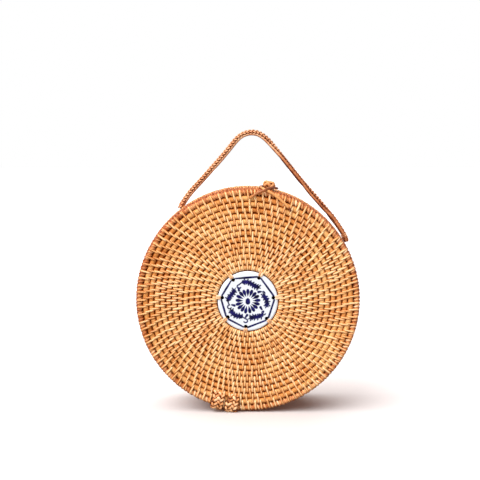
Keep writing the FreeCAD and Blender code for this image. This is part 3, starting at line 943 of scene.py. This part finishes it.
# knob: a knot on a ball on a stem, and a smaller knot inside the wall
knob = {
    "angle": 10.5,
    "depth": -18.0 * mm,
    "lift": 4.2 * mm,
    "radius": 5.3 * mm,
    "height": 3.6 * mm,
    "strip": (2.6 * mm, 1.3 * mm),  # width, thickness
    "ballIn": (0.5 * mm, 0.4 * mm),
    "ballRings": 8,
    "ballAround": 20,
    # dark: painted shade seen between the knot's strips
    "ballTone": 0.1,
    "stem": (3.0, 0.0, -3.0, -6.0, -9.0),  # mm from the wall
    "stemThick": 3 * mm,
    "stemSides": 10,
    "stemTone": 0.3,
    "stopDepth": 7.6 * mm,
    "stopSize": (3.1 * mm, 1.7 * mm),  # radius, height
    "stopStrip": (1.8 * mm, 0.8 * mm),
}


def ballInto(build, centre, axis, across, radius, height):
    third, first = axis.cross(across), len(build["verts"])
    rings, around = knob["ballRings"], knob["ballAround"]
    for i in range(rings + 1):
        tilt = math.pi * i / rings - math.pi / 2
        for j in range(around):
            turn = 2 * math.pi * j / around
            flat = across * math.cos(turn) + third * math.sin(turn)
            wide, high = radius * math.cos(tilt), height * math.sin(tilt)
            build["verts"].append(centre + flat * wide + axis * high)
            build["tone"].append(knob["ballTone"])
    skinInto(build, first, rings + 1, around)


def knobPieces():
    angle, depth = knob["angle"], knob["depth"]
    seat = wallRadius(depth)
    axis, across = outward(angle), clockwise(angle)
    radius, height = knob["radius"], knob["height"]
    build = newBuild()
    centre = bagPoint(angle, seat + knob["lift"], depth)
    knotInto(build, centre, axis, across, radius, height, *knob["strip"])
    ballInto(build, centre, axis, across, radius - knob["ballIn"][0], height - knob["ballIn"][1])
    stem = [bagPoint(angle, seat + r * mm, depth) for r in knob["stem"]]
    section = ovalSection(knob["stemThick"], knob["stemThick"], knob["stemSides"])
    stripInto(build, stem, [across] * len(stem), section, tone=knob["stemTone"])
    head = pieceFrom("closureKnob", build, finishes["knob"])
    inside = newBuild()
    low = bagPoint(angle, seat - knob["stopDepth"], depth)
    knotInto(inside, low, axis, across, *knob["stopSize"], *knob["stopStrip"])
    return head, pieceFrom("knobStopKnot", inside, finishes["knob"])


knobHead, knobStop = knobPieces()
wear(knobHead, "basket", "thong_leather", "closure_knob")
wear(knobStop, "basket", "thong_leather", "knob_stop")


# thong: from the left anchor round the knob to the right anchor (x, depth, height over the face's middle)
thong = {
    "route": (
        (1.0, -33.0, 91.6), (2.2, -34.8, 92.3), (4.8, -35.4, 94.0), (7.6, -35.6, 95.8),
        (10.4, -36.0, 97.2), (13.4, -36.5, 98.4), (16.4, -36.0, 99.8), (19.6, -31.8, 101.0),
        (23.6, -26.0, 101.0), (26.6, -19.6, 100.2), (25.2, -14.0, 100.2), (20.4, -11.0, 101.2),
        (15.0, -11.6, 101.8), (11.8, -14.6, 102.0), (11.0, -19.0, 101.8), (11.4, -25.2, 101.4),
        (12.6, -30.6, 100.8), (14.6, -33.8, 99.8), (17.4, -35.0, 98.2), (21.2, -35.6, 96.2),
        (25.4, -35.7, 93.4), (30.4, -35.7, 89.0), (35.2, -35.5, 84.6), (37.6, -35.0, 81.0),
        (38.2, -33.0, 79.6),
    ),
    "step": 0.7 * mm,
    "tones": (
        (0.0, 0.5), (0.1, 0.3), (0.2, 0.05), (0.42, -0.05), (0.6, 0.3), (0.72, 0.85), (0.94, 0.75),
        (0.965, -0.3), (1.0, -0.5),
    ),  # share, tone; the darker end, where it goes into the lid, is painted shade
    "grow": ((0.0, 0.75), (0.2, 0.9), (0.3, 1.05), (0.6, 0.95), (0.75, 0.85), (1.0, 0.75)),  # share, size
    "width": 2.9 * mm,
    "thick": 2.0 * mm,
    "sides": 10,
    "turnStart": -34.6 * mm,  # flat on the lid's face up to here, then flat over the wall
    "turnOver": 3.5 * mm,
    "turnEnd": -30.5 * mm,
}


def thongPiece():
    points = [Vector((x * mm, y * mm, bag["axisHeight"] + z * mm)) for x, y, z in thong["route"]]
    path = smoothPath(points, thong["step"])
    ups = []
    for point in path:
        flat = Vector((point.x, 0, point.z - bag["axisHeight"])).normalized()
        share = rise(point.y, thong["turnStart"], thong["turnOver"])
        ups.append((flat * share + front * (1 - share)).normalized())
    tones, grow = (alongPath(thong[label], len(path)) for label in ("tones", "grow"))
    section = ovalSection(thong["width"], thong["thick"], thong["sides"])
    build = newBuild()
    stripInto(build, path, ups, section, tone=tones, widths=grow)
    piece = pieceFrom("closureThong", build, finishes["thong"])
    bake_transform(piece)
    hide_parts("loop_eye", "loop_tail_left", "loop_tail_right")
    print("piece", piece.name, len(piece.data.polygons), "faces from lid to closure_loop")


thongPiece()


# hinge straps: from the lid's face round the bottom edge to behind the mouth rim (radius, depth)
hinge = {
    "angle": 193.0,
    "offsets": (6.2 * mm, -7.2 * mm),
    "route": (
        (86.6, -33.6), (87.4, -34.8), (90.0, -35.3), (94.0, -35.5), (97.4, -35.5), (100.0, -34.6),
        (101.4, -32.0), (101.6, -28.6), (101.6, -25.0), (101.2, -22.6), (99.4, -21.6),
    ),
    "step": 0.6 * mm,
    "strips": 5,
    "swing": 4.5 * mm,
    "height": 0.9 * mm,
    "period": 19.0 * mm,
    "stripWidth": 2.6 * mm,
    "stripThick": 1.7 * mm,
    "ragged": 0.8 * mm,
    "patchy": 0.5,
    # painted shade where the plait's strips go under
    "underShade": 0.9,
    "starts": 6,  # where in its swing a strap's plait begins
    "seed": 61,
}


def hingePiece(label, offset, rng):
    across = clockwise(hinge["angle"])
    points = [bagPoint(hinge["angle"], r * mm, y * mm) + across * offset for r, y in hinge["route"]]
    path = smoothPath(points, hinge["step"])
    tops = [across.cross(along).normalized() for along in headings(path)]
    build = newBuild()
    plaitInto(build, path, [across] * len(path), tops, hinge, rng, rng.random() * hinge["starts"])
    for v in build["verts"]:
        v.z = max(v.z, bag["lowest"])
    piece = pieceFrom("hingeStrap" + label, build, finishes["hinge"])
    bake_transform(piece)
    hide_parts("hinge_loop_" + label.lower())
    print("piece", piece.name, len(piece.data.polygons), "faces from basket to lid")


hingeRng = random.Random(hinge["seed"])
for label, offset in zip(("Left", "Right"), hinge["offsets"]):
    hingePiece(label, offset, hingeRng)


# medallion: glazed disc, drawn in cobalt under the glaze
medallion = {
    "radius": 26.9 * mm,
    "front": -34.25 * mm,
    "thick": 4.6 * mm,
    "edge": 1.5 * mm,
    "pole": 0.25 * mm,  # the innermost ring
    "around": 220,
    "frontRings": 88,
    "edgeRings": 6,
    "backRings": 60,
    "holeAngles": (-34.5, 25.5, 82.5, 133.0, 184.5, 231.0, 277.5),
    "holeCircle": 23.0 * mm,
    "holeRadius": 1.7 * mm,
    "holeSides": 20,
    "holeMargin": 0.05,  # mm
    "holeReach": (-2.0, 8.0),  # mm behind the front
    "paintDepth": 0.3 * mm,
}

# brush strokes, in degrees and mm on the disc's face; widths are half widths
drawing = {
    "petals": 17,
    "petalReach": (4.4, 9.8),
    "petalJitter": (1.2, 0.3),  # round, outwards
    "petalWidths": (0.2, 0.5, 0.9, 1.3, 1.55, 1.3),
    "heart": ((0, 2.6), (0, 0.6), (180, 1.0)),
    "heartWidths": (0.5, 2.0, 2.1),
    "sprigs": ((8, 72), (84, 54), (150, 56), (217, 60), (287, 58)),  # middle, length round the disc
    "sprigStep": 4,
    "stemRadius": 16.4,
    "stemBow": 1.3,
    "stemWave": 330,
    "stemWidths": (0.6, 0.95, 0.5),  # start, middle, tip
    "leafLean": 0.5,
    "leafReach": (1.3, 2.4),
    "leafJitter": (0.85, 1.1),
    "leafWidths": (0.85, 0.6),
    "curlRadius": 1.7,
    "curlTurn": 4.2,  # radians
    "curlSteps": 10,
    "curlWidth": 0.62,
    "bud": ((5, 12.6), (10, 14.6)),  # past the sprig's end, radius
    "budWidths": (1.2, 0.8),
    "borderRadius": 24.4,
    "borderGap": 2.2,
    "borderWidths": ((0.6, 0.95), (0.75, 1.15), (0.6, 0.95)),
    "bleed": 0.28,
    "seed": 81,
}


def polar(angle, radius):
    turn = math.radians(angle)
    return np.array((radius * math.sin(turn), radius * math.cos(turn)))


def unit(run):
    return run / np.linalg.norm(run)


def sprigStrokes(middle, span, bow, rng):
    count = int(span / drawing["sprigStep"])
    stem = []
    for t in np.linspace(-span / 2, span / 2, count + 1):
        wave = math.sin(math.radians(t * drawing["stemWave"] / span))
        stem.append(polar(middle + t, drawing["stemRadius"] + bow * drawing["stemBow"] * wave))
    thin, full, tip = drawing["stemWidths"]
    strokes = [(stem, [thin] * 3 + [full] * (count - 4) + [thin, tip])]
    for j in range(3, count - 1):
        run = unit(stem[j + 1] - stem[j - 1])
        for side in (-1, 1):
            lean = run * drawing["leafLean"] + side * np.array((-run[1], run[0]))
            reach = drawing["leafReach"][(j + (side > 0)) % 2] * rng.uniform(*drawing["leafJitter"])
            strokes.append(([stem[j], stem[j] + lean * reach], drawing["leafWidths"]))
    turns = np.linspace(0, drawing["curlTurn"], drawing["curlSteps"] + 1)
    bends = [np.array((math.sin(c) * bow, math.cos(c) - 1)) for c in turns]
    curl = [stem[0] + drawing["curlRadius"] * bend for bend in bends]
    strokes.append((curl, [drawing["curlWidth"]] * len(curl)))
    strokes.append(([polar(middle + span / 2 + t, r) for t, r in drawing["bud"]], drawing["budWidths"]))
    return strokes


def brushStrokes():
    rng = random.Random(drawing["seed"])
    petals, widths = drawing["petals"], drawing["petalWidths"]
    strokes = []
    for i in range(petals):
        angle = 360.0 * i / petals + jitter(rng, drawing["petalJitter"][0])
        radii = np.linspace(*drawing["petalReach"], len(widths)) + jitter(rng, drawing["petalJitter"][1])
        strokes.append(([polar(angle, r) for r in radii], widths))
    strokes.append(([polar(*spot) for spot in drawing["heart"]], drawing["heartWidths"]))
    for i, (middle, span) in enumerate(drawing["sprigs"]):
        strokes += sprigStrokes(middle, span, 1 if i % 2 else -1, rng)
    angles = medallion["holeAngles"]
    for angle, other in zip(angles, angles[1:] + angles[:1]):
        a, b = polar(angle, drawing["borderRadius"]), polar(other, drawing["borderRadius"])
        gap = unit(b - a) * drawing["borderGap"]
        strokes.append(([a + gap, (a + b) / 2, b - gap], [rng.uniform(*w) for w in drawing["borderWidths"]]))
    return strokes


# 1 on a stroke, 0 off it, for points on the face in mm
def cobaltMask(points):
    nearest = np.full(len(points), 99.0)
    for line, widths in brushStrokes():
        for a, b, wa, wb in zip(line, line[1:], widths, widths[1:]):
            run = b - a
            share = np.clip(((points - a) @ run) / max(run @ run, 1e-9), 0, 1)
            gap = np.linalg.norm(points - a - share[:, None] * run, axis=1) - (wa + (wb - wa) * share)
            nearest = np.minimum(nearest, gap)
    return np.clip(0.5 - nearest / drawing["bleed"], 0, 1)


glaze = {
    "roughness": 0.25,
    "bumpScale": 120.0,
    "bumpDepth": 0.00003,
    "coat": 0.04,
    "coatRoughness": 0.05,
    "shine": 0.06,
    "washScale": 260.0,
    "washDetail": 3.0,
    "blues": ((0.35, (0.002, 0.002, 0.018)), (0.75, (0.014, 0.012, 0.15))),
    "whites": ((0.0, (0.74, 0.77, 0.83)), (1.0, (0.81, 0.84, 0.89))),
}


def porcelainMaterial():
    mat, nodes, links, shader, place = freshMaterial(
        "porcelainGlaze", glaze["roughness"], glaze["bumpScale"], glaze["bumpDepth"],
        glaze["coat"], glaze["coatRoughness"], glaze["shine"],
    )
    wash = noiseFrom(nodes, links, place, glaze["washScale"], glaze["washDetail"])
    mix = nodes.new("ShaderNodeMix")
    mix.data_type = "RGBA"
    # cobalt drawing, and painted shade in the holes
    links.new(attributeNamed(nodes, "cobaltAndHoleShade"), mix.inputs["Factor"])
    links.new(rampFrom(nodes, links, wash, glaze["whites"]), mix.inputs["A"])
    links.new(rampFrom(nodes, links, wash, glaze["blues"]), mix.inputs["B"])
    links.new(mix.outputs["Result"], shader.inputs["Base Color"])
    return mat


# radius and depth, from the front's middle round the edge to the back's middle
def medallionProfile():
    edge, face = medallion["edge"], medallion["front"]
    flat = medallion["radius"] - edge
    profile = [(r, face) for r in np.linspace(medallion["pole"], flat, medallion["frontRings"])]
    for t in np.linspace(0, math.pi / 2, medallion["edgeRings"] + 1)[1:]:
        profile.append((flat + edge * math.sin(t), face + edge * (1 - math.cos(t))))
    profile.append((medallion["radius"], face + medallion["thick"] - edge))
    for r in np.linspace(flat, medallion["pole"], medallion["backRings"]):
        profile.append((r, face + medallion["thick"]))
    return profile


def medallionPiece():
    around, profile, build = medallion["around"], medallionProfile(), newBuild()
    for r, y in profile:
        for j in range(around):
            build["verts"].append(bagPoint(360.0 * j / around, r, y))
    skinInto(build, 0, len(profile), around)
    capsInto(build, 0, len(profile), around)
    porcelain = porcelainMaterial()
    piece = pieceFrom("medallionDisc", build, porcelain)
    drills = newBuild()
    hole = ovalSection(2 * medallion["holeRadius"], 2 * medallion["holeRadius"], medallion["holeSides"])
    for angle in medallion["holeAngles"]:
        depths = [medallion["front"] + y * mm for y in medallion["holeReach"]]
        line = [bagPoint(angle, medallion["holeCircle"], depth) for depth in depths]
        stripInto(drills, line, [outward(angle)] * 2, hole)
    drill = pieceFrom("medallionDrill", drills, porcelain)
    cutter = piece.modifiers.new("drill", "BOOLEAN")
    cutter.operation = "DIFFERENCE"
    cutter.solver = "EXACT"
    cutter.object = drill
    drilled = settle(piece)
    bpy.data.objects.remove(drill)
    co = np.zeros(len(drilled.vertices) * 3)
    drilled.vertices.foreach_get("co", co)
    co = co.reshape(-1, 3)
    flat = np.stack([co[:, 0], co[:, 2] - bag["axisHeight"]], 1) / mm
    behind = co[:, 1] > medallion["front"] + medallion["paintDepth"]
    mask = cobaltMask(flat)
    mask[behind] = 0.0
    for angle in medallion["holeAngles"]:  # the holes' walls get the dark blue: painted shade in the holes
        middle = outward(angle) * (medallion["holeCircle"] / mm)
        away = np.hypot(flat[:, 0] - middle.x, flat[:, 1] - middle.z)
        mask[behind & (away < medallion["holeRadius"] / mm + medallion["holeMargin"])] = 1.0
    drilled.attributes.new("cobaltAndHoleShade", "FLOAT", "POINT").data.foreach_set("value", mask.astype(np.float32))
    drilled.materials.clear()
    drilled.materials.append(porcelain)
    return piece


wear(medallionPiece(), "lid", "porcelain", "medallion")


# ties: two strips out of the outer half of each hole, over the edge and down behind the first coil
# (radius, mm behind the medallion's front)
ties = {
    "route": (
        (24.6, 3.0), (24.65, 0.6), (25.0, -0.35), (25.9, -0.5), (27.2, -0.3), (28.2, 0.0), (29.0, 0.7),
        (29.6, 1.8),
    ),
    "step": 0.5 * mm,
    "shifts": (-0.95, 0.95),
    "width": 1.8 * mm,
    "thick": 0.7 * mm,
    "seed": 71,
}


def tiesPiece():
    rng = random.Random(ties["seed"])
    section = ovalSection(ties["width"], ties["thick"])
    build = newBuild()
    for angle in medallion["holeAngles"]:
        across = clockwise(angle)
        route = [bagPoint(angle, r * mm, medallion["front"] + y * mm) for r, y in ties["route"]]
        for shift in ties["shifts"]:
            path = smoothPath([point + across * shift * mm for point in route], ties["step"])
            ups = [along.cross(across).normalized() for along in headings(path)]
            stripInto(build, path, ups, section, tone=rng.random())
    return pieceFrom("medallionTies", build, finishes["tie"])


wear(tiesPiece(), "lid", "tie_cane", "medallion_ties")


# stage: pale floor that keeps the shadow, white surroundings, soft suns for the bag and for the floor
stage = {
    "floorSize": 80.0,
    "floorSeen": (0.72, 0.69, 0.685),
    "floorBounce": (0.305, 0.297, 0.288),
    "floorRoughness": 0.9,
    "floorGlow": 0.08,  # only where the floor is seen; with its warm colour it is painted bounce light in the floor's shadow
    "glowColour": (0.75, 0.25, 0.12),
    "worldStrength": 0.32,
    "suns": (
        ("upperSun", (-0.34, -0.36, 1.0), 2.9, 60.0, False),
        ("sideSun", (-0.8, -0.65, 0.85), 2.1, 22.0, False),
        ("fillSun", (0.35, -1.0, 0.55), 0.7, 60.0, False),
        ("floorSun", (-0.75, -0.6, 1.0), 2.7, 60.0, True),
        ("floorBackSun", (-0.25, 0.35, 1.0), 3.4, 95.0, True),
    ),  # name, where it shines from, strength, spread, on the floor or on the bag
}


# 1 for rays from the camera, in gloss or through glass, 0 for the light on the bag
def seenRays(nodes, links):
    rays = nodes.new("ShaderNodeLightPath").outputs
    seen = rays["Is Camera Ray"]
    for kind in ("Is Glossy Ray", "Is Transmission Ray"):
        either = nodes.new("ShaderNodeMath")
        either.operation = "MAXIMUM"
        links.new(seen, either.inputs[0])
        links.new(rays[kind], either.inputs[1])
        seen = either.outputs["Value"]
    return seen


def floorPiece():
    half = stage["floorSize"] / 2
    corners = [(-half, -half, 0), (half, -half, 0), (half, half, 0), (-half, half, 0)]
    mesh = bpy.data.meshes.new("floorSheet")
    mesh.from_pydata(corners, [], [(0, 1, 2, 3)])
    mat = bpy.data.materials.new("floorPaper")
    mat.use_nodes = True
    nodes, links = mat.node_tree.nodes, mat.node_tree.links
    shader = nodes["Principled BSDF"]
    shader.inputs["Roughness"].default_value = stage["floorRoughness"]
    shader.inputs["Specular IOR Level"].default_value = 0.0
    seen = seenRays(nodes, links)
    paper = nodes.new("ShaderNodeMix")
    paper.data_type = "RGBA"
    paper.inputs["A"].default_value = (*stage["floorBounce"], 1)
    paper.inputs["B"].default_value = (*stage["floorSeen"], 1)
    links.new(seen, paper.inputs["Factor"])
    links.new(paper.outputs["Result"], shader.inputs["Base Color"])
    shader.inputs["Emission Color"].default_value = (*stage["glowColour"], 1)
    glow = nodes.new("ShaderNodeMath")
    glow.operation = "MULTIPLY"
    glow.inputs[1].default_value = stage["floorGlow"]
    links.new(seen, glow.inputs[0])
    links.new(glow.outputs["Value"], shader.inputs["Emission Strength"])
    mesh.materials.append(mat)
    floor = bpy.data.objects.new("floorSheet", mesh)
    scene.collection.objects.link(floor)
    return floor


def lightScene(floor):
    world = bpy.data.worlds.new("studio")
    scene.world = world
    world.use_nodes = True
    nodes, links = world.node_tree.nodes, world.node_tree.links
    sky = nodes["Background"]
    sky.inputs["Color"].default_value = (1, 1, 1, 1)
    pick = nodes.new("ShaderNodeMapRange")
    pick.inputs["To Min"].default_value = stage["worldStrength"]
    pick.inputs["To Max"].default_value = 1.0
    links.new(seenRays(nodes, links), pick.inputs["Value"])
    links.new(pick.outputs["Result"], sky.inputs["Strength"])
    receivers = {}
    for onFloor, state in ((True, "INCLUDE"), (False, "EXCLUDE")):
        receivers[onFloor] = bpy.data.collections.new("floor" + state.title())
        receivers[onFloor].objects.link(floor)
        receivers[onFloor].collection_objects[0].light_linking.link_state = state
    for name, source, strength, spread, onFloor in stage["suns"]:
        lamp = bpy.data.lights.new(name, "SUN")
        lamp.energy = strength
        lamp.angle = math.radians(spread)
        holder = bpy.data.objects.new(name, lamp)
        scene.collection.objects.link(holder)
        holder.rotation_euler = Vector(source).to_track_quat("Z", "Y").to_euler()
        holder.light_linking.receiver_collection = receivers[onFloor]


# camera: nearly straight on, looking a little down
view = {"place": (0.0, -0.8218, 0.2231), "yaw": -0.509, "pitch": 4.878, "lens": 66.84, "sensor": 36.0}


def placeCamera():
    cam = bpy.data.cameras.new("photoCamera")
    cam.lens = view["lens"]
    cam.sensor_width = view["sensor"]
    cam.sensor_fit = "HORIZONTAL"
    holder = bpy.data.objects.new("photoCamera", cam)
    scene.collection.objects.link(holder)
    yaw, pitch = math.radians(view["yaw"]), math.radians(view["pitch"])
    look = Vector((math.sin(yaw) * math.cos(pitch), math.cos(yaw) * math.cos(pitch), -math.sin(pitch)))
    right = Vector((math.cos(yaw), -math.sin(yaw), 0))
    up = right.cross(look)
    turn = Matrix((right, up, -look)).transposed().to_4x4()
    holder.matrix_world = Matrix.Translation(view["place"]) @ turn
    scene.camera = holder


lightScene(floorPiece())
placeCamera()
scene.view_settings.view_transform = "Standard"
print("stage, lamps and camera ready")
